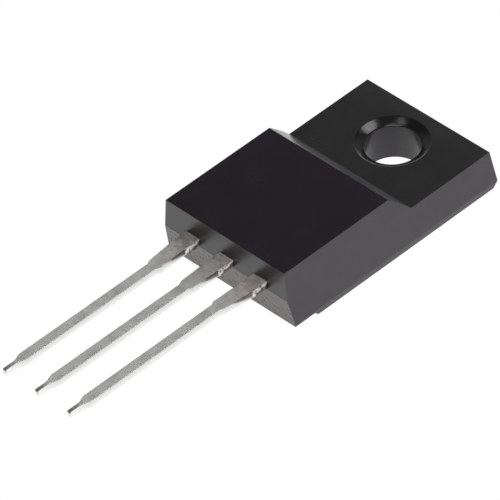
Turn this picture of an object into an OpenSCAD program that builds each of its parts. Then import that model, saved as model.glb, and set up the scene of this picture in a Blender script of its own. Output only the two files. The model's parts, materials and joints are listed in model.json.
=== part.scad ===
// Power transistor in a fully moulded package: a plastic body with a screw hole and three leads.
// Origin: centre of the mounting hole, on the back face that lies on a heatsink.
// +X goes across the body, +Y from the leads towards the hole, +Z out of the front face.

/* [Moulding] */
// Width of the moulding at its parting line
body_w = 10.0; // [9.4:0.1:11]
// Length of the moulding, from the front wall to the far end
body_len = 16.7; // [15.8:0.1:18]
// Thickness of the block over the chip
block_t = 4.3; // [4.1:0.1:4.8]
// Length of the flat top of the block
block_len = 8.25; // [7.5:0.05:8.8]
// Thickness of the tab round the screw hole
tab_t = 2.7; // [2.5:0.05:3]
// Length of the slope from the block down to the tab
slope_len = 1.65; // [1.2:0.05:2.2]
// Angle by which the slope steepens from its top to its foot
slope_turn = 8; // [2:1:30]
// Draft angle of the side walls
side_draft = 5; // [1:0.5:7]
// Draft angle of the far end
end_draft = 9.4; // [3:0.2:12]
// Draft angle of the front wall above the leads
front_draft = 1; // [0.5:0.5:4]
// Height of the parting line above the back face
parting_h = 0.44; // [0.35:0.01:0.5]
// How far the far end draws in below the parting line
end_inset = 0.3; // [0.1:0.05:0.4]
// How far the side walls draw in below the parting line
side_inset = 0.06; // [0.02:0.02:0.2]
// How far the foot of the front wall draws in below the leads
front_inset = 0.36; // [0.1:0.02:0.5]
// How far the front wall stands proud below the leads, where the two halves of the mould meet
mould_step = 0.01; // [0.01:0.01:0.1]
// Height of the relief under the front edge
relief_h = 0.3; // [0.1:0.05:0.4]
// Length of the relief under the front edge
relief_len = 1.9; // [1:0.1:3]

/* [Mounting hole] */
// Diameter of the screw hole
hole_d = 3.35; // [3:0.05:3.6]
// Distance of the hole from the far end
hole_to_end = 3.3; // [3.1:0.1:3.8]
// Diameter of the countersunk ring at the top of the hole
ring_d = 4.4; // [4:0.1:4.8]
// Depth of the countersunk ring
ring_depth = 0.33; // [0.15:0.01:0.5]

/* [Leads] */
// Distance from one lead to the next
lead_pitch = 2.54; // [2.4:0.01:2.6]
// Thickness of the leads
lead_t = 0.45; // [0.35:0.05:0.55]
// Height of the upper face of the leads above the back face
lead_top_h = 2.82; // [2.7:0.02:3.0]
// Width of a lead along its thin part
lead_w = 0.65; // [0.5:0.05:0.8]
// Width of a lead at its shoulders
shoulder_w = 0.9; // [0.75:0.05:1]
// Width of a lead where it leaves the front wall
root_w = 1.05; // [0.95:0.05:1.3]
// How far the root of an outer lead lies outwards of its thin part
root_shift = 0.12; // [0.02:0.02:0.2]
// Width of a lead at its tip
tip_w = 0.26; // [0.2:0.02:0.45]
// Length of a lead outside the front wall
lead_len = 14.6; // [8:0.1:16]
// Length of the wide root outside the front wall
root_len = 1.0; // [0.8:0.1:1.4]
// Distance from the front wall to the shoulders, where the root's taper ends
shoulder_end = 3.3; // [2.6:0.1:4]
// Length of the narrow tip
tip_len = 1.1; // [0.6:0.1:1.6]
// Length over which a lead narrows at a step
step_len = 0.25; // [0.1:0.05:0.4]

/* [Heat spreader] */
// Width of the copper plate under the chip
plate_w = 8.0; // [7:0.1:8.4]
// Thickness of the copper plate
plate_t = 1.2; // [0.8:0.05:1.3]
// Thickness of the plastic behind the plate
back_skin = 0.55; // [0.5:0.05:0.7]
// Thickness of the plastic between the plate and the far end
end_skin = 0.9; // [0.7:0.05:1.2]
// Thickness of the plastic between the screw hole and the plate
hole_skin = 0.9; // [0.7:0.05:1]
// Distance from the front wall to the plate
plate_setback = 3.1; // [2.9:0.1:3.6]

/* [Bond pads] */
// Width of the pad at the inner end of an outer lead
pad_w = 2.2; // [1.9:0.05:2.4]
// Length of the pad
pad_len = 1.5; // [1.2:0.1:1.7]
// Distance from the front wall to the pad
pad_setback = 1.0; // [0.8:0.05:1.1]
// Distance of the pad's inner side from the lead's centre line
pad_inboard = 0.85; // [0.6:0.05:1]

/* [Chip and wires] */
// Side of the square silicon chip
chip_w = 3.2; // [2.4:0.1:3.6]
// Thickness of the chip
chip_t = 0.3; // [0.2:0.02:0.35]
// Distance from the plate's front edge to the chip
chip_setback = 1.6; // [1.2:0.1:2.4]
// Thickness of the solder under the chip
solder_t = 0.06; // [0.04:0.01:0.1]
// Width of the solder that shows round the chip
solder_rim = 0.15; // [0.05:0.05:0.3]
// Diameter of the base wire
base_wire_d = 0.2; // [0.15:0.05:0.25]
// Diameter of the two emitter wires
emitter_wire_d = 0.3; // [0.2:0.05:0.35]
// Rise of a wire's arch above the line between its two ends
wire_rise = 0.75; // [0.6:0.05:0.85]
// Distance between the two emitter wires
wire_gap = 0.7; // [0.5:0.05:0.9]
// Distance of a wire's end from the edge of the chip or the pad
wire_inset = 0.5; // [0.4:0.05:0.6]

/* [Hidden] */
$fn = 64;

epoxy_colour = [0.10, 0.10, 0.11];
tin_colour = [0.72, 0.72, 0.71];
solder_colour = [0.60, 0.61, 0.63];
silicon_colour = [0.30, 0.33, 0.38];
aluminium_colour = [0.82, 0.82, 0.83];

// Past every outline, so that a cut leaves no skin
over = 1;

// Heights
lead_bottom_h = lead_top_h - lead_t;
plate_top_h = back_skin + plate_t;
solder_top_h = plate_top_h + solder_t;
chip_top_h = solder_top_h + chip_t;

// Stations along Y
far_y = hole_to_end;
front_y = far_y - body_len;
block_front_y = front_y + (block_t - lead_bottom_h) * tan(front_draft);
slope_top_y = block_front_y + block_len;
slope_foot_y = slope_top_y + slope_len;
tip_y = front_y - lead_len;
plate_front_y = front_y + plate_setback;
plate_far_y = far_y - end_skin;
pad_front_y = front_y + pad_setback;
pad_far_y = pad_front_y + pad_len;
chip_front_y = plate_front_y + chip_setback;

// The slope is part of a circle, which falls away from the block more and more steeply
slope_drop = block_t - tab_t;
slope_r = norm([slope_len, slope_drop]) / (2 * sin(slope_turn / 2));
steepest = atan2(slope_drop, slope_len) + slope_turn / 2;
slope_steps = 8;

// Half widths of the moulding
base_x = body_w / 2 - side_inset;
top_x = body_w / 2 - (block_t - parting_h) * tan(side_draft);

// Point i of the slope, counted up from its foot, where the surface falls by fall degrees
function slope_point(i) = let (fall = steepest - i * slope_turn / slope_steps) [
    slope_foot_y - slope_r * (sin(steepest) - sin(fall)),
    tab_t + slope_r * (cos(fall) - cos(steepest))
];

// Outline of the moulding seen from the side, across Y and Z
module side_outline() {
    polygon(concat(
        [
            [front_y + relief_len, relief_h],
            [front_y + relief_len + relief_h, 0],
            [far_y - end_inset, 0],
            [far_y, parting_h],
            [far_y - (tab_t - parting_h) * tan(end_draft), tab_t]
        ],
        [for (i = [0:slope_steps]) slope_point(i)],
        [
            [block_front_y, block_t],
            [front_y, lead_bottom_h],
            [front_y - mould_step, lead_bottom_h],
            [front_y - mould_step + front_inset, relief_h]
        ]
    ));
}

// Outline of the moulding seen from the front, across X and Z
module front_outline() {
    polygon([
        [-base_x, 0],
        [base_x, 0],
        [body_w / 2, parting_h],
        [top_x, block_t],
        [-top_x, block_t],
        [-body_w / 2, parting_h]
    ]);
}

// Lays an outline drawn across Y and Z out along X, w wide and centred
module along_x(w) {
    rotate([90, 0, 90]) translate([0, 0, -w / 2]) linear_extrude(w) children();
}

// The plastic before anything is cut from it
module moulding() {
    intersection() {
        along_x(body_w + 2 * over) side_outline();
        translate([0, far_y + over, 0])
            rotate([90, 0, 0]) linear_extrude(body_len + 2 * over) front_outline();
    }
}

// The screw hole, and the ring countersunk round its top
module screw_hole() {
    translate([0, 0, -over]) cylinder(h = tab_t + 2 * over, d = hole_d);
    translate([0, 0, tab_t - ring_depth]) cylinder(h = ring_depth, d1 = hole_d, d2 = ring_d);
    translate([0, 0, tab_t]) cylinder(h = over, d = ring_d);
}

// Right-hand edge of a lead in plan, from its tip to inner_y in the plastic. Its root is moved by shift
function lead_edge(inner_y, shift) = [
    [tip_w / 2, tip_y],
    [tip_w / 2, tip_y + tip_len - step_len],
    [lead_w / 2, tip_y + tip_len],
    [lead_w / 2, front_y - shoulder_end],
    [shoulder_w / 2, front_y - shoulder_end + step_len],
    [root_w / 2 + shift, front_y - root_len],
    [root_w / 2 + shift, inner_y]
];

// One lead in plan, with its root moved by shift along X
module lead_outline(inner_y, shift = 0) {
    mirrored = [for (p = lead_edge(inner_y, -shift)) [-p[0], p[1]]];
    polygon(concat(
        lead_edge(inner_y, shift),
        [for (i = [len(mirrored) - 1:-1:0]) mirrored[i]]
    ));
}

// Raises a plan outline to the leads' height
module lead_sheet() {
    translate([0, 0, lead_bottom_h]) linear_extrude(lead_t) children();
}

// An outer lead with its bond pad. side is -1 for the base and 1 for the emitter
module outer_lead(side) {
    translate([side * lead_pitch, 0, 0]) lead_sheet() {
        lead_outline(pad_front_y + pad_len / 2, side * root_shift);
        translate([side > 0 ? -pad_inboard : pad_inboard - pad_w, pad_front_y])
            square([pad_w, pad_len]);
    }
}

// The strip that bends down from the middle lead to the front edge of the plate
module down_bend() {
    drop = lead_bottom_h - plate_top_h + lead_t;
    bend_y = plate_front_y - drop;
    along_x(root_w) polygon([
        [front_y, lead_top_h],
        [front_y, lead_bottom_h],
        [bend_y - lead_t / 2, lead_bottom_h],
        [plate_front_y - lead_t / 2, plate_top_h - lead_t],
        [plate_front_y, plate_top_h - lead_t],
        [plate_front_y, plate_top_h],
        [bend_y, lead_top_h]
    ]);
}

// The copper plate, notched round the screw hole
module plate() {
    notch_r = hole_d / 2 + hole_skin;
    translate([0, 0, back_skin]) linear_extrude(plate_t) difference() {
        translate([-plate_w / 2, plate_front_y]) square([plate_w, plate_far_y - plate_front_y]);
        circle(notch_r);
        translate([-notch_r, 0]) square([2 * notch_r, plate_far_y + over]);
    }
}

// Centre of the end of a wire on the chip, and on the pad of an outer lead
function chip_end(x) = [x, chip_front_y + wire_inset];
function pad_end(side, x) = [
    side * (lead_pitch - pad_inboard + pad_w / 2) + x,
    pad_far_y - wire_inset
];

// A wire: an arch of a ring between its two ends, cut flush with the chip and the pad
module wire(start, end, d) {
    flat = end - start;
    span = norm(flat);
    turn = atan2(flat[1], flat[0]);
    climb = lead_top_h - chip_top_h;
    chord = norm([span, climb]);
    r = (chord * chord / 4 + wire_rise * wire_rise) / (2 * wire_rise);
    difference() {
        translate([start[0], start[1], chip_top_h])
            rotate([0, 0, turn])
            rotate([0, -atan2(climb, span), 0])
            translate([chord / 2, 0, wire_rise - r])
            rotate([90, 0, 0])
            rotate_extrude($fn = 96) translate([r, 0]) circle(d = d, $fn = 24);
        // Below the chip's face, on the chip's half of the span
        translate([start[0], start[1], 0]) rotate([0, 0, turn])
            translate([-2 * r, -2 * r, chip_top_h - 4 * r]) cube([2 * r + span / 2, 4 * r, 4 * r]);
        // Below the pad's face, on the other half
        translate([start[0], start[1], 0]) rotate([0, 0, turn])
            translate([span / 2 - over / 10, -2 * r, lead_top_h - 4 * r]) cube([4 * r, 4 * r, 4 * r]);
    }
}

module mould_body() {
    color(epoxy_colour) difference() {
        moulding();
        screw_hole();
        collector_lead();
        base_lead();
        emitter_lead();
        chip_solder();
        silicon_chip();
        base_wire();
        emitter_wire_1();
        emitter_wire_2();
    }
}

// The middle lead and the plate under the chip are one copper stamping
module collector_lead() {
    color(tin_colour) union() {
        lead_sheet() lead_outline(front_y);
        down_bend();
        plate();
    }
}

module base_lead() {
    color(tin_colour) outer_lead(-1);
}

module emitter_lead() {
    color(tin_colour) outer_lead(1);
}

module chip_solder() {
    side = chip_w + 2 * solder_rim;
    color(solder_colour)
        translate([-side / 2, chip_front_y - solder_rim, plate_top_h]) cube([side, side, solder_t]);
}

module silicon_chip() {
    color(silicon_colour)
        translate([-chip_w / 2, chip_front_y, solder_top_h]) cube([chip_w, chip_w, chip_t]);
}

module base_wire() {
    color(aluminium_colour)
        wire(chip_end(-chip_w / 2 + wire_inset), pad_end(-1, 0), base_wire_d);
}

module emitter_wire(i) {
    inner_x = chip_w / 2 - wire_inset - wire_gap;
    color(aluminium_colour)
        wire(chip_end(inner_x + i * wire_gap), pad_end(1, (i - 0.5) * wire_gap), emitter_wire_d);
}

module emitter_wire_1() {
    emitter_wire(0);
}

module emitter_wire_2() {
    emitter_wire(1);
}

mould_body();
collector_lead();
base_lead();
emitter_lead();
chip_solder();
silicon_chip();
base_wire();
emitter_wire_1();
emitter_wire_2();
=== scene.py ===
# A power transistor in a fully moulded package, lying on a white studio table
import json
import math

import bmesh
import bpy
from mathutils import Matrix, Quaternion, Vector, noise
from mathutils.bvhtree import BVHTree


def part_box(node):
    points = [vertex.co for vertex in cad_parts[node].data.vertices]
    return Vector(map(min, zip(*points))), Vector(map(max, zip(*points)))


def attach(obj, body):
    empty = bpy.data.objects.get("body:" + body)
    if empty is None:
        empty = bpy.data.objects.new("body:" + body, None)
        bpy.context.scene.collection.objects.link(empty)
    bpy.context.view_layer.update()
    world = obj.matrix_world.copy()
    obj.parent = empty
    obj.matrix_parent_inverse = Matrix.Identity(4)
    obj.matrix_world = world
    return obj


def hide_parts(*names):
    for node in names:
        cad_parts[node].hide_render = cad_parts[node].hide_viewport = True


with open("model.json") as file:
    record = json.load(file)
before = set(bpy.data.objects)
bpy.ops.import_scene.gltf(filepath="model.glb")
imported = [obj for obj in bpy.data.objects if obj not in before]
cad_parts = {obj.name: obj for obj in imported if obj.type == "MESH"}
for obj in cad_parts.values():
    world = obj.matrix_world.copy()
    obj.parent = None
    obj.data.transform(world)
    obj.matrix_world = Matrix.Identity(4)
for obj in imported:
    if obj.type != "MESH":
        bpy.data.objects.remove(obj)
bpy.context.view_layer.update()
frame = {"nodes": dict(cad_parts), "record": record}

mm = 0.001               # the frame is in metres, and pieces are shaped in millimetres
scene = bpy.context.scene

print("camera")

photoCamera = {
    "azimuth": 47.37,    # degrees round from the lead side towards +X
    "elevation": 41.63,
    "roll": -3.81,
    "distance": 381.2,   # millimetres from the point it looks at
    "lens": 490.5,
    "sensor": 36,
    "clip": (0.01, 5),   # metres
    "aim": (-0.23, -11.30, 1.79),
}


def placeCamera(size):
    turn = math.radians(size["azimuth"])
    rise = math.radians(size["elevation"])
    back = Vector((math.sin(turn) * math.cos(rise), -math.cos(turn) * math.cos(rise), math.sin(rise)))
    lens = bpy.data.cameras.new("photoCamera")
    lens.lens = size["lens"]
    lens.sensor_width = size["sensor"]
    lens.clip_start, lens.clip_end = size["clip"]
    camera = bpy.data.objects.new("photoCamera", lens)
    camera.location = (Vector(size["aim"]) + back * size["distance"]) * mm
    level = (-back).to_track_quat("-Z", "Y")
    camera.rotation_mode = "QUATERNION"
    camera.rotation_quaternion = level @ Quaternion((0, 0, 1), math.radians(size["roll"]))
    scene.collection.objects.link(camera)
    scene.camera = camera


placeCamera(photoCamera)


print("shader groups")


def newGroup(name, inputs, outputs):
    group = bpy.data.node_groups.new(name, "ShaderNodeTree")
    for label, kind, value in inputs:
        socket = group.interface.new_socket(label, in_out="INPUT", socket_type=kind)
        if value is not None:
            socket.default_value = value
    for label, kind in outputs:
        group.interface.new_socket(label, in_out="OUTPUT", socket_type=kind)
    return group, group.nodes.new("NodeGroupInput"), group.nodes.new("NodeGroupOutput")


def addNode(tree, kind, **settings):
    # A setting is a property of the node, or the value of an input, with _ for a space in its name
    node = tree.nodes.new("ShaderNode" + kind)
    for name, value in settings.items():
        if hasattr(node, name):
            setattr(node, name, value)
        else:
            node.inputs[name.replace("_", " ")].default_value = value
    return node


def feed(tree, socket, value):
    # value is a number or a colour, or a socket that gives one
    if isinstance(value, bpy.types.NodeSocket):
        tree.links.new(value, socket)
    elif socket.type == "RGBA":
        socket.default_value = (*value, 1)
    else:
        socket.default_value = value


def combine(tree, operation, first, second, clamp=True):
    # A clamped sum or product of masks is a mask again
    node = addNode(tree, "Math", operation=operation, use_clamp=clamp)
    feed(tree, node.inputs[0], first)
    feed(tree, node.inputs[1], second)
    return node.outputs[0]


grainDetail = {
    "fine": {"Detail": 5.0, "Roughness": 0.65},
    "slow": {"Detail": 2.0, "Roughness": 0.5},
    "slowScale": 0.08,       # times the fine noise's scale
}


def makeGrain(size):
    # Fine grain of a moulded or plated skin, with a slow drift under it
    group, start, end = newGroup(
        "fineGrain",
        [("Vector", "NodeSocketVector", None), ("Scale", "NodeSocketFloat", 1.0),
         ("Drift", "NodeSocketFloat", 0.3)],
        [("Value", "NodeSocketFloat")],
    )
    link = group.links.new
    fine = addNode(group, "TexNoise", **size["fine"])
    slow = addNode(group, "TexNoise", **size["slow"])
    slower = combine(group, "MULTIPLY", start.outputs["Scale"], size["slowScale"], clamp=False)
    blend = addNode(group, "Mix", data_type="FLOAT")
    link(start.outputs["Vector"], fine.inputs["Vector"])
    link(start.outputs["Vector"], slow.inputs["Vector"])
    link(start.outputs["Scale"], fine.inputs["Scale"])
    link(slower, slow.inputs["Scale"])
    link(start.outputs["Drift"], blend.inputs["Factor"])
    link(fine.outputs["Fac"], blend.inputs[2])
    link(slow.outputs["Fac"], blend.inputs[3])
    link(blend.outputs[0], end.inputs["Value"])
    return group


def makeSpecks():
    # Sparse round specks, such as filler grains or pits
    group, start, end = newGroup(
        "specks",
        [("Vector", "NodeSocketVector", None), ("Scale", "NodeSocketFloat", 1.0),
         ("Size", "NodeSocketFloat", 0.2)],
        [("Mask", "NodeSocketFloat")],
    )
    link = group.links.new
    cells = addNode(group, "TexVoronoi", Randomness=1.0)
    near = addNode(group, "MapRange", interpolation_type="SMOOTHSTEP",
                   From_Min=0.0, To_Min=1.0, To_Max=0.0)
    link(start.outputs["Vector"], cells.inputs["Vector"])
    link(start.outputs["Scale"], cells.inputs["Scale"])
    link(cells.outputs["Distance"], near.inputs["Value"])
    link(start.outputs["Size"], near.inputs["From Max"])
    link(near.outputs["Result"], end.inputs["Mask"])
    return group


def makeStreaks():
    # Long fine lines along Y, as rolled and drawn metal has
    group, start, end = newGroup(
        "drawnLines",
        [("Vector", "NodeSocketVector", None), ("Scale", "NodeSocketFloat", 1.0),
         ("Stretch", "NodeSocketVector", (1.0, 0.05, 1.0))],
        [("Value", "NodeSocketFloat")],
    )
    link = group.links.new
    squeeze = addNode(group, "VectorMath", operation="MULTIPLY")
    lines = addNode(group, "TexNoise", Detail=4.0, Roughness=0.6)
    link(start.outputs["Vector"], squeeze.inputs[0])
    link(start.outputs["Stretch"], squeeze.inputs[1])
    link(squeeze.outputs[0], lines.inputs["Vector"])
    link(start.outputs["Scale"], lines.inputs["Scale"])
    link(lines.outputs["Fac"], end.inputs["Value"])
    return group


def makeRamp():
    # 0 before one place on an axis and 1 after another, with the edge made uneven by noise
    group, start, end = newGroup(
        "unevenRamp",
        [("Vector", "NodeSocketVector", None), ("Axis", "NodeSocketVector", (0.0, 1.0, 0.0)),
         ("From", "NodeSocketFloat", 0.0), ("To", "NodeSocketFloat", 1.0),
         ("Unevenness", "NodeSocketFloat", 0.0), ("Scale", "NodeSocketFloat", 1000.0)],
        [("Mask", "NodeSocketFloat")],
    )
    link = group.links.new
    along = addNode(group, "VectorMath", operation="DOT_PRODUCT")
    rough = addNode(group, "TexNoise", Detail=3.0)
    middle = 0.5             # of the noise's values
    centred = combine(group, "SUBTRACT", rough.outputs["Fac"], middle, clamp=False)
    wander = combine(group, "MULTIPLY", centred, start.outputs["Unevenness"], clamp=False)
    moved = combine(group, "ADD", along.outputs["Value"], wander, clamp=False)
    ramp = addNode(group, "MapRange", interpolation_type="SMOOTHSTEP")
    link(start.outputs["Vector"], along.inputs[0])
    link(start.outputs["Axis"], along.inputs[1])
    link(start.outputs["Vector"], rough.inputs["Vector"])
    link(start.outputs["Scale"], rough.inputs["Scale"])
    link(moved, ramp.inputs["Value"])
    link(start.outputs["From"], ramp.inputs["From Min"])
    link(start.outputs["To"], ramp.inputs["From Max"])
    link(ramp.outputs["Result"], end.inputs["Mask"])
    return group


groups = {
    "grain": makeGrain(grainDetail),
    "specks": makeSpecks(),
    "streaks": makeStreaks(),
    "ramp": makeRamp(),
}


print("materials")


def newMaterial(name):
    material = bpy.data.materials.new(name)
    material.use_nodes = True
    tree = material.node_tree
    shader = tree.nodes["Principled BSDF"]
    place = tree.nodes.new("ShaderNodeTexCoord")
    return material, tree, shader, place.outputs["Object"]


def useGroup(tree, name, place, **values):
    node = tree.nodes.new("ShaderNodeGroup")
    node.node_tree = groups[name]
    feed(tree, node.inputs["Vector"], place)
    for label, value in values.items():
        feed(tree, node.inputs[label], value)
    return node.outputs[0]


def fade(tree, place, between, axis=(0, 1, 0), uneven=(0, 1000)):
    # 0 before and 1 after two places on an axis, in millimetres. The edge wanders by the first
    # value of uneven, in millimetres, with a noise of the second one's scale, per metre
    start, stop = between
    depth, scale = uneven
    return useGroup(tree, "ramp", place, Axis=axis, From=start * mm, To=stop * mm,
                    Unevenness=depth * mm, Scale=scale)


wholeFace = (0.5, 0.7)       # how much a face leans along an axis where its mask starts and ends


def facing(tree, axis, lean=wholeFace):
    # 1 on the faces that look along axis, and 0 elsewhere
    normal = next(node for node in tree.nodes if node.type == "TEX_COORD").outputs["Normal"]
    low, high = lean
    return useGroup(tree, "ramp", normal, Axis=axis, From=low, To=high)


def onSides(tree, lean=wholeFace):
    return combine(tree, "MAXIMUM", facing(tree, (1, 0, 0), lean), facing(tree, (-1, 0, 0), lean))


def mixValues(tree, mask, low, high):
    node = addNode(tree, "Mix", data_type="FLOAT")
    for socket, value in zip((0, 2, 3), (mask, low, high)):
        feed(tree, node.inputs[socket], value)
    return node.outputs[0]


def mixColours(tree, mask, low, high):
    node = addNode(tree, "Mix", data_type="RGBA")
    for socket, value in zip((0, 6, 7), (mask, low, high)):
        feed(tree, node.inputs[socket], value)
    return node.outputs[2]


noiseReach = (0.3, 0.7)      # nearly all values of a noise lie between these


def spread(tree, value, low=0, high=1):
    # Stretches a noise value, which stays near a half, over low to high
    node = addNode(tree, "MapRange", interpolation_type="LINEAR",
                   From_Min=noiseReach[0], From_Max=noiseReach[1], To_Min=low, To_Max=high)
    feed(tree, node.inputs["Value"], value)
    return node.outputs["Result"]


def addShare(tree, first, second, share):
    # The first value, with a share of the second one on top
    node = addNode(tree, "Math", operation="MULTIPLY_ADD")
    for socket, value in zip(node.inputs, (second, share, first)):
        feed(tree, socket, value)
    return node.outputs[0]


def addBump(tree, shader, height, depth):
    bump = addNode(tree, "Bump", Strength=1.0, Distance=depth)
    feed(tree, bump.inputs["Height"], height)
    feed(tree, shader.inputs["Normal"], bump.outputs["Normal"])


epoxyLook = {
    "block": (0.0142, 0.0094, 0.0166),
    "tab": (0.0222, 0.0219, 0.0230),
    # a lighter tone towards the tab's far end, a painted sheen
    "farEndSheen": (0.0300, 0.0292, 0.0296),
    "light": 1.25,            # how much lighter the pale parts of the grain are
    "tabAt": (-5.2, -3.2),    # millimetres along Y, where the tab's tint takes over
    "tabUneven": (2, 300),    # millimetres, and scale per metre
    "farEndAt": (0.8, 3.2),
    "farEndUneven": (1, 400),
    "side": (0.0115, 0.0088, 0.0120),
    "sidePale": (0.0250, 0.0185, 0.0255),
    "sideScale": 1100,        # per metre
    "speck": (0.028, 0.026, 0.026),
    "speckScale": 5200,
    "speckSize": 0.10,        # of the room that each speck has
    "grainScale": 7000,
    "grainDrift": 0.4,        # share of the slow drift in the fine grain
    "coarseDrift": 0.2,       # and in the coarser ones
    "roughness": (0.22, 0.28),
    "bumpDepth": 0.0000008,   # metres
    "refraction": 1.5,
    "ring": (0.0125, 0.0112, 0.0115),    # the polished ring round the hole, darker as painted shade in the countersink
    "ringReach": 2.18,        # millimetres from the hole's axis
    "ringAt": (2.35, 2.39),   # millimetres along Z
    "ringRoughness": 0.20,
    "front": (0.0125, 0.0105, 0.0095),
    "frontAt": (12.8, 12.9),  # millimetres against Y
    "frontRoughness": 0.33,
    "wall": (0.048, 0.035, 0.032),       # residue on the front wall below the leads
    "wallAt": (-2.39, -2.35),            # millimetres against Z
    "wallCover": (0.05, 1.15),           # of the residue, where it is thin and thick
    "wallScale": 2600,
    "wallRoughness": (0.22, 0.40),
    "wallBump": 20.0,         # times the fine grain's depth
    "wallPit": -36.0,
    "wallPitScale": 3400,
    "wallPitSize": 0.50,
}


def ringMask(tree, place, look):
    # 1 on the ring countersunk round the hole, whose axis is the Z axis
    flat = addNode(tree, "VectorMath", operation="MULTIPLY")
    flat.inputs[1].default_value = (1, 1, 0)
    feed(tree, flat.inputs[0], place)
    reach = addNode(tree, "VectorMath", operation="LENGTH")
    feed(tree, reach.inputs[0], flat.outputs[0])
    near = combine(tree, "LESS_THAN", reach.outputs["Value"], look["ringReach"] * mm)
    return combine(tree, "MULTIPLY", near, fade(tree, place, look["ringAt"], axis=(0, 0, 1)))


def makeEpoxy(look):
    material, tree, shader, place = newMaterial("mouldingCompound")
    grain = useGroup(tree, "grain", place, Scale=look["grainScale"], Drift=look["grainDrift"])
    speck = useGroup(tree, "specks", place, Scale=look["speckScale"], Size=look["speckSize"])
    # The face, from the block over the tab to the far end, which is lighter there as a painted sheen
    onTab = fade(tree, place, look["tabAt"], uneven=look["tabUneven"])
    sheenAtEnd = fade(tree, place, look["farEndAt"], uneven=look["farEndUneven"])
    tones = []
    for share in (1, look["light"]):
        block, tab, farEndSheen = (
            [value * share for value in look[part]] for part in ("block", "tab", "farEndSheen"))
        tones.append(mixColours(tree, onTab, block, mixColours(tree, sheenAtEnd, tab, farEndSheen)))
    faceTone = mixColours(tree, spread(tree, grain), *tones)
    mottle = useGroup(tree, "grain", place, Scale=look["sideScale"], Drift=look["coarseDrift"])
    sideTone = mixColours(tree, spread(tree, mottle), look["side"], look["sidePale"])
    base = mixColours(tree, onSides(tree), faceTone, sideTone)
    onRing = ringMask(tree, place, look)
    # painted shade: the countersunk ring gets a darker colour
    ringShaded = mixColours(tree, onRing, base, look["ring"])
    specked = mixColours(tree, speck, ringShaded, look["speck"])
    # The front wall, clean above the leads' lower faces and with residue below them
    below = fade(tree, place, look["wallAt"], axis=(0, 0, -1))
    atFront = fade(tree, place, look["frontAt"], axis=(0, -1, 0))
    front = combine(tree, "MULTIPLY", facing(tree, (0, -1, 0)), atFront)
    wall = combine(tree, "MULTIPLY", front, below)
    coarse = useGroup(tree, "grain", place, Scale=look["wallScale"], Drift=look["coarseDrift"])
    residue = combine(tree, "MULTIPLY", wall, spread(tree, coarse, *look["wallCover"]))
    fronted = mixColours(tree, front, specked, look["front"])
    feed(tree, shader.inputs["Base Color"], mixColours(tree, residue, fronted, look["wall"]))
    plain = mixValues(tree, onRing, spread(tree, grain, *look["roughness"]), look["ringRoughness"])
    upper = mixValues(tree, front, plain, look["frontRoughness"])
    rough = mixValues(tree, wall, upper, spread(tree, coarse, *look["wallRoughness"]))
    feed(tree, shader.inputs["Roughness"], rough)
    lumpy = addShare(tree, grain, combine(tree, "MULTIPLY", wall, coarse), look["wallBump"])
    pits = useGroup(tree, "specks", place, Scale=look["wallPitScale"], Size=look["wallPitSize"])
    pitted = addShare(tree, lumpy, combine(tree, "MULTIPLY", wall, pits), look["wallPit"])
    addBump(tree, shader, pitted, look["bumpDepth"])
    shader.inputs["IOR"].default_value = look["refraction"]
    return material


tinLook = {
    "dull": (0.44, 0.44, 0.43),
    "bright": (0.76, 0.76, 0.745),
    "grainScale": 1500,       # per metre
    "grainDrift": 0.35,
    "lineScale": 3000,
    "lineTone": 0.3,          # share of the drawn lines in the tone
    "lineDepth": 0.6,         # and in the relief
    "roughness": (0.42, 0.60),
    "bumpDepth": 0.0000005,   # metres
    "metal": 0.65,            # Metallic, lower under the stain
    "sideHighShade": (0.58, 0.58, 0.57),      # the sheared sides, darker towards their top as painted shade
    "sideLow": (0.68, 0.68, 0.67),
    "sideAt": (2.42, 2.80),   # millimetres along Z, from the low tone to the high one
    "sideUneven": (0.1, 3000),           # millimetres, and scale per metre
    "sideRoughness": (0.20, 0.32),
    "stain": (0.77, 0.70, 0.675),        # left by the moulding near the front wall
    "stainDark": (0.13, 0.105, 0.092),
    "stainScale": 3400,
    "stainDrift": 0.3,
    "stainAt": (-16.9, -14.2),           # millimetres along Y
    "stainUneven": (0.9, 2500),
    "stainCover": 0.85,
    "stainMetal": 0.25,
    "copper": (0.60, 0.30, 0.18),
    "copperAt": (-13.0, -12.6),          # inside the plastic the copper is bare
    "burr": (0.86, 0.84, 0.82),          # the torn edge next to the plastic
    "flash": (0.15, 0.135, 0.12),        # a skin of moulding compound under the burr
    "burrAt": (7.80, 7.88),
    "burrSlope": -0.38,       # the burr grows towards the end of the root
    "burrUneven": (0.35, 6000),
    "burrRoughness": 0.5,
    "rootAt": (-14.5, -14.45),
    "rootUneven": (0.35, 5000),
    "pit": (0.06, 0.05, 0.045),
    "pitScale": 4200,
    "pitSize": 0.58,
    "cut": (0.05, 0.043, 0.038),         # where the bar between the leads was cut off, darkened as painted shade
    "cutPale": (0.17, 0.15, 0.138),
    "cutDrift": 0.2,
    "cutLean": (0.02, 0.25),  # the painted shade reaches over the rolled edge
    "cutAt": (-16.1, -15.3),
    "cutUneven": (0.8, 3000),
    "cutFootAt": (-0.54, -0.36),
    "cutSlope": 0.2,          # it gets shallower away from the root
    "cutFootUneven": (0.12, 4000),
    "tip": (0.30, 0.285, 0.27),
    "tipPale": (0.73, 0.73, 0.72),
    "tipAt": (26.9, 27.9),    # millimetres against Y
    "tipUneven": (0.8, 2500),
    "tipEnd": (0.10, 0.09, 0.08),        # the upper part of the cut-off end
    "tipEndAt": (2.62, 2.74),
    "tipEndUneven": (0.2, 4000),
}


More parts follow.
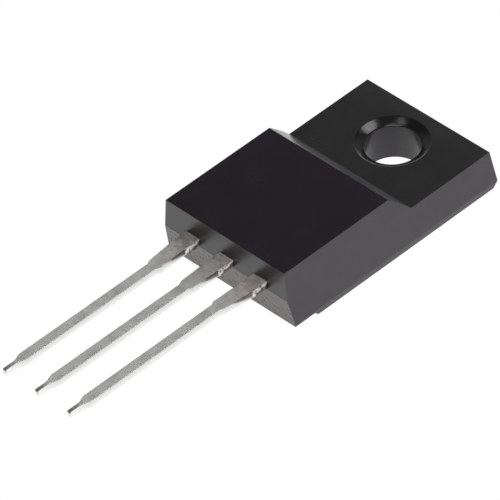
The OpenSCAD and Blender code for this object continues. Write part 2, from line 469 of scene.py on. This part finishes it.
def makeTin(look):
    material, tree, shader, place = newMaterial("dullTinPlating")
    grain = useGroup(tree, "grain", place, Scale=look["grainScale"], Drift=look["grainDrift"])
    lines = useGroup(tree, "streaks", place, Scale=look["lineScale"])
    mottled = spread(tree, addShare(tree, grain, lines, look["lineTone"]))
    plated = mixColours(tree, mottled, look["dull"], look["bright"])
    stain = fade(tree, place, look["stainAt"], uneven=look["stainUneven"])
    blotch = useGroup(tree, "grain", place, Scale=look["stainScale"], Drift=look["stainDrift"])
    stainTone = mixColours(tree, spread(tree, blotch), look["stainDark"], look["stain"])
    cover = combine(tree, "MULTIPLY", stain, look["stainCover"])
    stained = mixColours(tree, cover, plated, stainTone)
    # The sides: torn at the root, then sheared smooth with painted shade towards their top, and pale
    # at the tip
    side = onSides(tree)
    tip = fade(tree, place, look["tipAt"], axis=(0, -1, 0), uneven=look["tipUneven"])
    root = fade(tree, place, look["rootAt"], uneven=look["rootUneven"])
    burr = fade(tree, place, look["burrAt"], axis=(0, look["burrSlope"], 1), uneven=look["burrUneven"])
    pit = useGroup(tree, "specks", place, Scale=look["pitScale"], Size=look["pitSize"])
    torn = mixColours(tree, pit, mixColours(tree, burr, look["flash"], look["burr"]), look["pit"])
    # painted shade: the smooth sides get darker towards their top
    high = fade(tree, place, look["sideAt"], axis=(0, 0, 1), uneven=look["sideUneven"])
    smooth = mixColours(tree, high, look["sideLow"], look["sideHighShade"])
    sheared = mixColours(tree, root, mixColours(tree, tip, smooth, look["tipPale"]), torn)
    faced = mixColours(tree, side, mixColours(tree, tip, stained, look["tip"]), sheared)
    # The dark cut beside the root, painted shade
    cut = fade(tree, place, look["cutAt"], uneven=look["cutUneven"])
    deep = fade(tree, place, look["cutFootAt"], axis=(0, look["cutSlope"], 1),
                uneven=look["cutFootUneven"])
    rough = useGroup(tree, "grain", place, Scale=look["pitScale"], Drift=look["cutDrift"])
    shadedCut = mixColours(tree, spread(tree, rough), look["cut"], look["cutPale"])
    onCut = mixValues(tree, root, 1.0, 0.0)
    for mask in (cut, onSides(tree, look["cutLean"]), deep):
        onCut = combine(tree, "MULTIPLY", onCut, mask)
    outside = mixColours(tree, onCut, faced, shadedCut)
    # The ends, and the bare copper in the plastic
    darkEnd = fade(tree, place, look["tipEndAt"], axis=(0, 0, 1), uneven=look["tipEndUneven"])
    tipEnd = mixColours(tree, darkEnd, look["tipPale"], look["tipEnd"])
    ended = mixColours(tree, facing(tree, (0, -1, 0)), outside, tipEnd)
    bare = fade(tree, place, look["copperAt"])
    feed(tree, shader.inputs["Base Color"], mixColours(tree, bare, ended, look["copper"]))
    sheen = mixValues(tree, root, spread(tree, grain, *look["sideRoughness"]), look["burrRoughness"])
    roughness = mixValues(tree, side, spread(tree, grain, *look["roughness"]), sheen)
    feed(tree, shader.inputs["Roughness"], roughness)
    feed(tree, shader.inputs["Metallic"], mixValues(tree, stain, look["metal"], look["stainMetal"]))
    addBump(tree, shader, addShare(tree, grain, lines, look["lineDepth"]), look["bumpDepth"])
    return material


solderLook = {
    "dull": (0.42, 0.43, 0.44),
    "bright": (0.60, 0.61, 0.63),
    "grainScale": 6000,       # per metre
    "grainDrift": 0.5,
    "roughness": (0.30, 0.50),
    "bumpDepth": 0.000004,    # metres
}

wireLook = {
    "dull": (0.70, 0.70, 0.71),
    "bright": (0.86, 0.86, 0.87),
    "grainScale": 15000,
    "grainDrift": 0.5,
    "lineScale": 30000,
    "lineShare": 0.4,
    "roughness": (0.20, 0.34),
    "bumpDepth": 0.0000015,
}


def makeMetal(name, look):
    material, tree, shader, place = newMaterial(name)
    grain = useGroup(tree, "grain", place, Scale=look["grainScale"], Drift=look["grainDrift"])
    if "lineShare" in look:
        lines = useGroup(tree, "streaks", place, Scale=look["lineScale"])
        grain = addShare(tree, grain, lines, look["lineShare"])
    base = mixColours(tree, spread(tree, grain), look["dull"], look["bright"])
    feed(tree, shader.inputs["Base Color"], base)
    feed(tree, shader.inputs["Roughness"], spread(tree, grain, *look["roughness"]))
    shader.inputs["Metallic"].default_value = 1.0
    addBump(tree, shader, grain, look["bumpDepth"])
    return material


siliconLook = {
    "body": (0.09, 0.10, 0.12),
    "pad": (0.72, 0.72, 0.74),
    "street": (0.05, 0.055, 0.065),
    "streetIn": (0.25, 0.225),           # millimetres in from the chip's sides
    "topUnder": (0.02, 0.01),            # millimetres under its top
    "grainScale": 20000,      # per metre
    "grainDrift": 0.2,
    "roughness": (0.10, 0.18),
    "refraction": 2.4,
}


def makeSilicon(look):
    # Metal pads on the top, with a dark street round them
    material, tree, shader, place = newMaterial("polishedSilicon")
    low, high = (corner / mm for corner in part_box("silicon_chip"))
    grain = useGroup(tree, "grain", place, Scale=look["grainScale"], Drift=look["grainDrift"])

    def inward(edge, axis, depths):
        return fade(tree, place, [edge - depth for depth in depths], axis=axis)

    top = inward(high.z, (0, 0, 1), look["topUnder"])
    street = inward(high.x, (1, 0, 0), look["streetIn"])
    for edge, axis in ((-low.x, (-1, 0, 0)), (high.y, (0, 1, 0)), (-low.y, (0, -1, 0))):
        street = combine(tree, "MAXIMUM", street, inward(edge, axis, look["streetIn"]))
    padded = mixColours(tree, street, look["pad"], look["street"])
    feed(tree, shader.inputs["Base Color"], mixColours(tree, top, look["body"], padded))
    feed(tree, shader.inputs["Roughness"], spread(tree, grain, *look["roughness"]))
    feed(tree, shader.inputs["Metallic"], combine(tree, "SUBTRACT", top, street))
    shader.inputs["IOR"].default_value = look["refraction"]
    return material


materials = {
    "moulding_compound": makeEpoxy(epoxyLook),
    "tinned_copper": makeTin(tinLook),
    "solder": makeMetal("softSolder", solderLook),
    "aluminium_wire": makeMetal("drawnAluminium", wireLook),
    "silicon": makeSilicon(siliconLook),
}


print("hidden pieces")

for row in frame["record"]["subparts"]:
    node = frame["nodes"][row["node"]]
    node.data.materials.clear()
    node.data.materials.append(materials[row["material_slot"]])


print("moulding")

meshCare = {
    "merge": 0.0005,         # millimetres, nearer than which two points are one
    "flat": 0.3,             # degrees, below which two faces are one
    "sliver": 0.0002,        # millimetres
    "smooth": 34,            # degrees, below which shading runs over an edge
}


def takeNode(nodeName):
    # A copy of a node's mesh in millimetres, with its loose triangles merged into flat faces
    shape = bmesh.new()
    shape.from_mesh(frame["nodes"][nodeName].data)
    bmesh.ops.scale(shape, vec=(1 / mm,) * 3, verts=shape.verts)
    bmesh.ops.remove_doubles(shape, verts=shape.verts, dist=meshCare["merge"])
    bmesh.ops.dissolve_limit(shape, angle_limit=math.radians(meshCare["flat"]),
                             verts=shape.verts, edges=shape.edges)
    shape.normal_update()
    return shape


def bend(edge):
    return math.degrees(edge.calc_face_angle(0))


def roundEdges(shape, edges, radius, segments):
    # An edge that an earlier bevel took away is left out
    bmesh.ops.bevel(shape, geom=[edge for edge in edges if edge.is_valid], offset=radius,
                    affect="EDGES", segments=segments, profile=0.5, material=-1, clamp_overlap=True)


def finishPiece(name, shape, slotName, nodeName):
    bmesh.ops.dissolve_degenerate(shape, dist=meshCare["sliver"], edges=shape.edges)
    bmesh.ops.scale(shape, vec=(mm,) * 3, verts=shape.verts)
    for face in shape.faces:
        face.smooth = True
    for edge in shape.edges:
        edge.smooth = bend(edge) < meshCare["smooth"]
    mesh = bpy.data.meshes.new(name)
    shape.to_mesh(mesh)
    shape.free()
    piece = bpy.data.objects.new(name, mesh)
    scene.collection.objects.link(piece)
    mesh.materials.append(materials[slotName])
    even = piece.modifiers.new("evenShading", "WEIGHTED_NORMAL")
    even.keep_sharp = True
    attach(piece, "root")
    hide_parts(nodeName)


mouldSize = {
    "edgeRadius": 0.04,
    "edgeSteps": 3,
    "ringRadius": 0.05,
    "ringSteps": 3,
    "grooveRadius": 0.14,  # the plastic draws back from each lead where it comes out of the wall
    "grooveSteps": 2,
    "sharpAngle": 10,      # degrees a face has to turn before its edge counts
    "ringReach": 2.45,     # everything this near the hole's axis belongs to the hole
    "wall": -13.4,
    "wallReach": 0.05,     # an edge this near the wall lies in it
    "rayStart": 0.01,
}


def outerFaces(shape, size):
    # A face is on the outside where a ray straight out of it hits nothing
    surface = BVHTree.FromBMesh(shape)
    outer = set()
    for face in shape.faces:
        start = face.calc_center_median() + face.normal * size["rayStart"]
        if surface.ray_cast(start, face.normal)[0] is None:
            outer.add(face)
    return outer


def makeMoulding(size):
    shape = takeNode("mould_body")
    shape.faces.ensure_lookup_table()
    outer = outerFaces(shape, size)
    edges, rings, slots = [], [], []
    for edge in shape.edges:
        if bend(edge) < size["sharpAngle"]:
            continue
        reach = max(Vector(vert.co.xy).length for vert in edge.verts)
        if reach < size["ringReach"]:
            rings.append(edge)
        elif all(face in outer for face in edge.link_faces):
            if edge.is_convex:
                edges.append(edge)
        elif all(abs(vert.co.y - size["wall"]) < size["wallReach"] for vert in edge.verts):
            slots.append(edge)
    print("  outer edges", len(edges), "ring edges", len(rings), "slot edges", len(slots))
    roundEdges(shape, edges, size["edgeRadius"], size["edgeSteps"])
    roundEdges(shape, rings, size["ringRadius"], size["ringSteps"])
    roundEdges(shape, slots, size["grooveRadius"], size["grooveSteps"])
    finishPiece("mouldedBody", shape, "moulding_compound", "mould_body")


makeMoulding(mouldSize)


print("leads")

leadSize = {
    "wall": -13.4,         # where the leads come out of the plastic
    "rootEnd": -14.4,      # where the torn edge of the root ends
    "topRadius": 0.08,     # the punch rolls the upper edges over
    "topSteps": 3,
    "lowRadius": 0.02,
    "lowSteps": 1,
    "sharpAngle": 20,
    "sideLean": 0.9,       # how much a face leans along X where it counts as a side
    "burrSteps": 11,
    "burrHeight": 0.10,
    "burrScale": 7,        # lumps per millimetre
    "fineLumps": (0.5, 2.3),             # height and number of the finer lumps, times the others'
    "tipStep": -26.9,      # where the thin part ends
    "tipTaper": 0.3,       # how much longer the punch's worn corner makes the step to the tip
    "near": 0.01,          # nearer than this, two places count as one
    "planeReach": 0.0001,
}


def alongY(item):
    return [vert.co.y for vert in item.verts]


def tearRoots(shape, size):
    # The sides of a root, cut finely and pushed out unevenly, as flash and torn metal are
    for place in (size["wall"], size["rootEnd"]):
        everything = shape.verts[:] + shape.edges[:] + shape.faces[:]
        bmesh.ops.bisect_plane(shape, geom=everything, dist=size["planeReach"],
                               plane_co=(0, place, 0), plane_no=(0, 1, 0))
    shape.normal_update()
    sides = {face for face in shape.faces if abs(face.normal.x) > size["sideLean"]
             and size["rootEnd"] < face.calc_center_median().y < size["wall"]}
    edges = [edge for edge in shape.edges if not sides.isdisjoint(edge.link_faces)]
    bmesh.ops.subdivide_edges(shape, edges=edges, cuts=size["burrSteps"], use_grid_fill=True)
    shape.normal_update()
    top = max(vert.co.z for vert in shape.verts)
    share, number = size["fineLumps"]
    for vert in shape.verts:
        inRoot = size["rootEnd"] + size["near"] < vert.co.y < size["wall"] - size["near"]
        if inRoot and vert.co.z < top - size["near"]:
            side = max(vert.link_faces, key=lambda face: abs(face.normal.x)).normal.x
            spot = vert.co * size["burrScale"]
            lump = noise.noise(spot) + share * noise.noise(spot * number)
            vert.co.x += math.copysign(max(lump, 0) * size["burrHeight"], side)


def makeLead(name, nodeName, size):
    shape = takeNode(nodeName)
    for vert in shape.verts:
        if abs(vert.co.y - size["tipStep"]) < size["near"]:
            vert.co.y += size["tipTaper"]
    tearRoots(shape, size)
    top = max(vert.co.z for vert in shape.verts) - size["near"]
    outside = [edge for edge in shape.edges if bend(edge) > size["sharpAngle"]
               and min(alongY(edge)) < size["wall"] - size["near"]]
    upper = [edge for edge in outside if all(vert.co.z > top for vert in edge.verts)]
    lower = [edge for edge in outside if edge not in upper
             and max(alongY(edge)) < size["rootEnd"] + size["near"]]
    roundEdges(shape, upper, size["topRadius"], size["topSteps"])
    roundEdges(shape, lower, size["lowRadius"], size["lowSteps"])
    finishPiece(name, shape, "tinned_copper", nodeName)


makeLead("leadOneBase", "base_lead", leadSize)
makeLead("leadTwoCollector", "collector_lead", leadSize)
makeLead("leadThreeEmitter", "emitter_lead", leadSize)


print("floor and lights")

studio = {
    "floorSize": 3.0,         # metres
    "floorDrop": 0.00001,
    "frontGlow": 1.35,        # the table under and before the leads
    "sideShadeGlow": 1.14,         # painted shade: the table beside the body, which shades it, glows less
    "sideAt": (-14.0, -12.6),            # millimetres along Y
    "footShadeGlow": 1.00,         # painted contact shade: the table right at the body's foot glows less
    "footAt": (5.15, 5.45),   # millimetres from the middle, along X
    "footUneven": (0.4, 2500),           # millimetres, and scale per metre
    "dark": 0.03,             # the upper part of the room
    "dim": 0.25,              # the walls round the table
    "bright": 1.35,           # the white sheet behind the table
    "sweepTop": (27, 34),     # degrees above the table where walls and sheet fade out
    "sheetAt": 134,           # degrees round from +X towards +Y
    "sheetReach": (15, 24),   # degrees to each side, where the sheet fades out
}


def grey(level):
    return (level, level, level)


def showPlain(tree, plain, mirrored, output):
    # The camera sees the plain shader, and the part mirrors the other one
    path = addNode(tree, "LightPath")
    pick = addNode(tree, "MixShader")
    tree.links.new(path.outputs["Is Camera Ray"], pick.inputs[0])
    tree.links.new(mirrored.outputs[0], pick.inputs[1])
    tree.links.new(plain.outputs[0], pick.inputs[2])
    tree.links.new(pick.outputs[0], tree.nodes[output].inputs["Surface"])


def makeFloor(size):
    # A white table that glows unevenly in what the part mirrors, with painted shade beside the body
    # and at its foot
    shape = bmesh.new()
    bmesh.ops.create_grid(shape, x_segments=1, y_segments=1, size=size["floorSize"] / 2)
    bmesh.ops.translate(shape, vec=(0, 0, -size["floorDrop"]), verts=shape.verts)
    mesh = bpy.data.meshes.new("floor")
    shape.to_mesh(mesh)
    shape.free()
    floor = bpy.data.objects.new("floor", mesh)
    scene.collection.objects.link(floor)
    material, tree, shader, place = newMaterial("glowingTablePaintedShade")
    beside = fade(tree, place, size["sideAt"])
    away = [fade(tree, place, size["footAt"], axis=(way, 0, 0), uneven=size["footUneven"])
            for way in (-1, 1)]
    table = mixColours(tree, combine(tree, "MAXIMUM", *away),
                       grey(size["footShadeGlow"]), grey(size["sideShadeGlow"]))
    lit = addNode(tree, "Emission", Strength=1.0)
    feed(tree, lit.inputs["Color"], mixColours(tree, beside, grey(size["frontGlow"]), table))
    showPlain(tree, addNode(tree, "Emission"), lit, "Material Output")
    tree.nodes.remove(shader)
    mesh.materials.append(material)


def makeWorld(size):
    # A white sheet and dim walls round the table, and a dark room above them
    world = bpy.data.worlds.new("studioRoom")
    scene.world = world
    world.use_nodes = True
    tree = world.node_tree
    room = tree.nodes["Background"]
    way = addNode(tree, "TexCoord").outputs["Generated"]
    low, high = (math.sin(math.radians(angle)) for angle in size["sweepTop"])
    above = useGroup(tree, "ramp", way, Axis=(0, 0, 1), From=low, To=high)
    parts = addNode(tree, "SeparateXYZ")
    feed(tree, parts.inputs[0], way)
    turn = combine(tree, "ARCTAN2", parts.outputs["Y"], parts.outputs["X"], clamp=False)
    offset = combine(tree, "SUBTRACT", turn, math.radians(size["sheetAt"]), clamp=False)
    aside = addNode(tree, "Math", operation="ABSOLUTE")
    feed(tree, aside.inputs[0], offset)
    near, far = (math.radians(angle) for angle in size["sheetReach"])
    edge = addNode(tree, "MapRange", interpolation_type="SMOOTHSTEP", From_Min=near, From_Max=far)
    feed(tree, edge.inputs["Value"], aside.outputs[0])
    walls = mixColours(tree, edge.outputs["Result"], grey(size["bright"]), grey(size["dim"]))
    feed(tree, room.inputs["Color"], mixColours(tree, above, walls, grey(size["dark"])))
    white = addNode(tree, "Background", Color=(1, 1, 1, 1))
    showPlain(tree, white, room, "World Output")


softBoxes = {
    # direction from the part, half angle in degrees, level
    "backRight": ((0.37, 0.49, 0.79), 14, 4.6),
    "overhead": ((-0.05, -0.36, 0.93), 8, 2.0),
    "front": ((0.50, -0.55, 0.67), 24, 2.6),
}
boxDistance = 0.5        # metres
boxAim = (0, -10, 2)     # millimetres, about the middle of the part


def makeSoftBox(name, direction, halfAngle, level):
    light = bpy.data.lights.new(name, "AREA")
    light.shape = "DISK"
    radius = boxDistance * math.tan(math.radians(halfAngle))
    light.size = 2 * radius
    # A disk of this power has the wanted level all over: power = level * pi * area
    light.energy = level * math.pi * math.pi * radius ** 2
    lamp = bpy.data.objects.new(name, light)
    away = Vector(direction).normalized()
    lamp.location = away * boxDistance + Vector(boxAim) * mm
    lamp.rotation_mode = "QUATERNION"
    lamp.rotation_quaternion = away.to_track_quat("Z", "Y")
    lamp.visible_camera = False
    scene.collection.objects.link(lamp)


makeFloor(studio)
makeWorld(studio)
for name, box in softBoxes.items():
    makeSoftBox(name, *box)
scene.view_settings.view_transform = "Standard"


print("done")
